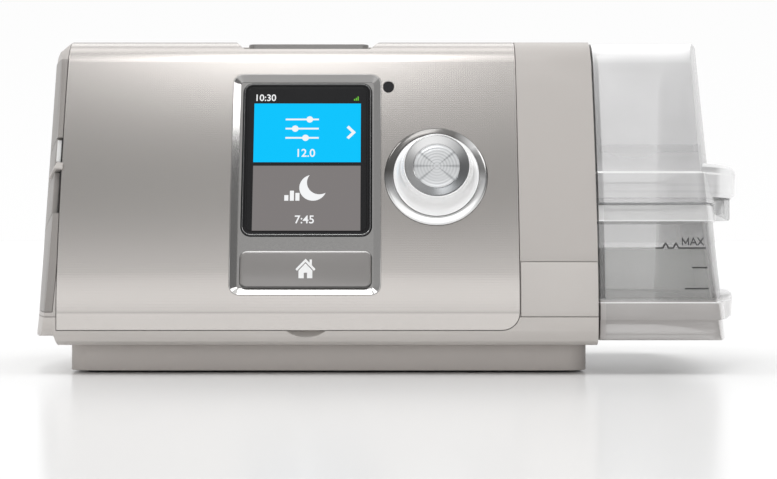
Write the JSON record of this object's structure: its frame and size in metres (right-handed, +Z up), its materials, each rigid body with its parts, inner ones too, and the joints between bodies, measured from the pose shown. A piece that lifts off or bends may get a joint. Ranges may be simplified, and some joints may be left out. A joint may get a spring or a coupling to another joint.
{
  "type": "bilevel pap machine",
  "caption": "Bedside positive-pressure breathing machine: a silver-fronted case with recessed screen, home button and dial, a top button, side doors and a docked clear water tub.",
  "frame": {"origin": "on the surface the machine stands on, under the middle of its bounding box", "axes": "+X towards the water tub, +Y towards the rear wall with the air outlet, +Z up; the screen faces -Y"},
  "size_m": [0.2549, 0.15, 0.116],
  "materials": {
    "case_grey": "satin",
    "pan_grey": "satin",
    "fascia_silver": "brushed satin",
    "side_grey": "satin",
    "label_grey": "satin",
    "plinth_grey": "matte",
    "foot_rubber": "matte",
    "bezel_metal": "metallic",
    "lens_black": "gloss",
    "screen_cyan": "lit",
    "button_grey": "satin",
    "ring_metal": "polished",
    "dial_white": "gloss",
    "dial_metal": "spun",
    "steel": "bright",
    "board_green": "satin",
    "socket_black": "matte",
    "card_blue": "satin",
    "inner_grey": "matte",
    "foam": "foam",
    "filter_white": "fibre",
    "seal_rubber": "soft",
    "stator_metal": "wound",
    "plate_metal": "satin",
    "tub_clear": "clear"
  },
  "bodies": {
    "case": {"plinth": "plinth_grey", "rubber_feet": "foot_rubber", "base_pan": "pan_grey", "main_case": "case_grey", "front_fascia": "fascia_silver", "left_side_panel": "side_grey", "end_label_panel": "label_grey", "display_bezel": "bezel_metal", "screen_lens": "lens_black", "lcd_module": "screen_cyan", "light_sensor_window": "lens_black", "dial_surround": "ring_metal", "ui_board": "board_green", "dial_encoder": "socket_black", "home_switch": "socket_black", "start_board": "board_green", "start_switch": "socket_black", "door_hinge_pins": "steel", "sd_socket": "socket_black", "accessory_socket": "socket_black", "main_board": "board_green", "modem_module": "steel", "muffler_box": "inner_grey", "muffler_foam": "foam", "filter_pad": "filter_white", "filter_cover_pin": "steel", "blower_mount": "seal_rubber", "blower_lower_housing": "inner_grey", "blower_upper_housing": "inner_grey", "blower_stator": "stator_metal", "blower_bearings": "steel", "blower_duct": "inner_grey", "outlet_duct": "inner_grey", "outlet_connector": "case_grey", "power_inlet": "socket_black", "bay_liner": "inner_grey", "bay_port_seals": "seal_rubber", "heater_springs": "steel", "case_screws": "steel"},
    "tub": {"tub_base": "tub_clear", "tub_heat_plate": "plate_metal", "tub_plate_seal": "seal_rubber", "tub_lid": "tub_clear", "tub_lid_seal": "seal_rubber", "tub_hinge_pins": "steel", "tub_lid_latch": "tub_clear"},
    "home_key": {"home_button": "button_grey"},
    "start_key": {"start_button": "button_grey"},
    "dial_stem": {"dial_shaft": "steel"},
    "dial": {"dial_knob": "dial_white", "dial_cap": "dial_metal"},
    "upper_side_door": {"sd_door": "side_grey"},
    "lower_side_door": {"port_cover": "side_grey"},
    "filter_door": {"filter_cover": "case_grey"},
    "cord_clip": {"cord_retention_clip": "socket_black"},
    "rotor": {"rotor_shaft": "steel", "rotor_magnet": "stator_metal", "impeller": "inner_grey"},
    "card": {"sd_card": "card_blue"},
    "heater": {"heater_plate": "plate_metal"}
  },
  "joints": [
    {"name": "tub_slide", "type": "slide", "parent": "case", "child": "tub", "axis": [1, 0, 0], "range_m": [0, 0.09]},
    {"name": "home_press", "type": "slide", "parent": "case", "child": "home_key", "axis": [0, 0.9558, -0.2941], "range_m": [0, 0.0006], "stiffness_N_per_m": 600, "springref_m": -0.0006},
    {"name": "start_press", "type": "slide", "parent": "case", "child": "start_key", "axis": [0, 0, -1], "range_m": [0, 0.0006], "stiffness_N_per_m": 600, "springref_m": -0.0006},
    {"name": "dial_press", "type": "slide", "parent": "case", "child": "dial_stem", "axis": [0, 0.9558, -0.2941], "range_m": [0, 0.0006], "stiffness_N_per_m": 900, "springref_m": -0.0006},
    {"name": "dial_turn", "type": "hinge", "parent": "dial_stem", "child": "dial", "pos_m": [0.0146, -0.06083, 0.06744], "axis": [0, -0.9558, 0.2941], "continuous": true},
    {"name": "upper_door_swing", "type": "hinge", "parent": "case", "child": "upper_side_door", "pos_m": [-0.12168, -0.0296, 0.06809], "axis": [-0.015, -0.2924, -0.9562], "range_deg": [0, 100]},
    {"name": "lower_door_swing", "type": "hinge", "parent": "case", "child": "lower_side_door", "pos_m": [-0.1219, -0.03402, 0.05365], "axis": [-0.015, -0.2924, -0.9562], "range_deg": [0, 100]},
    {"name": "filter_door_swing", "type": "hinge", "parent": "case", "child": "filter_door", "pos_m": [-0.065, 0.06374, 0.059], "axis": [0, 0, -1], "range_deg": [0, 100]},
    {"name": "cord_clip_swing", "type": "hinge", "parent": "case", "child": "cord_clip", "pos_m": [0.0121, 0.06754, 0.03], "axis": [1, 0, 0], "range_deg": [0, 95]},
    {"name": "blower_spin", "type": "hinge", "parent": "case", "child": "rotor", "pos_m": [-0.028, 0.02805, 0.04], "axis": [0, 0, 1], "continuous": true},
    {"name": "card_push", "type": "slide", "parent": "case", "child": "card", "axis": [0.9682, 0.2346, -0.0869], "range_m": [0, 0.001], "stiffness_N_per_m": 300, "springref_m": -0.001},
    {"name": "heater_float", "type": "slide", "parent": "case", "child": "heater", "axis": [0, 0, -1], "range_m": [0, 0.0006], "stiffness_N_per_m": 2000, "springref_m": -0.0006, "deforming": ["heater_springs"]}
  ]
}
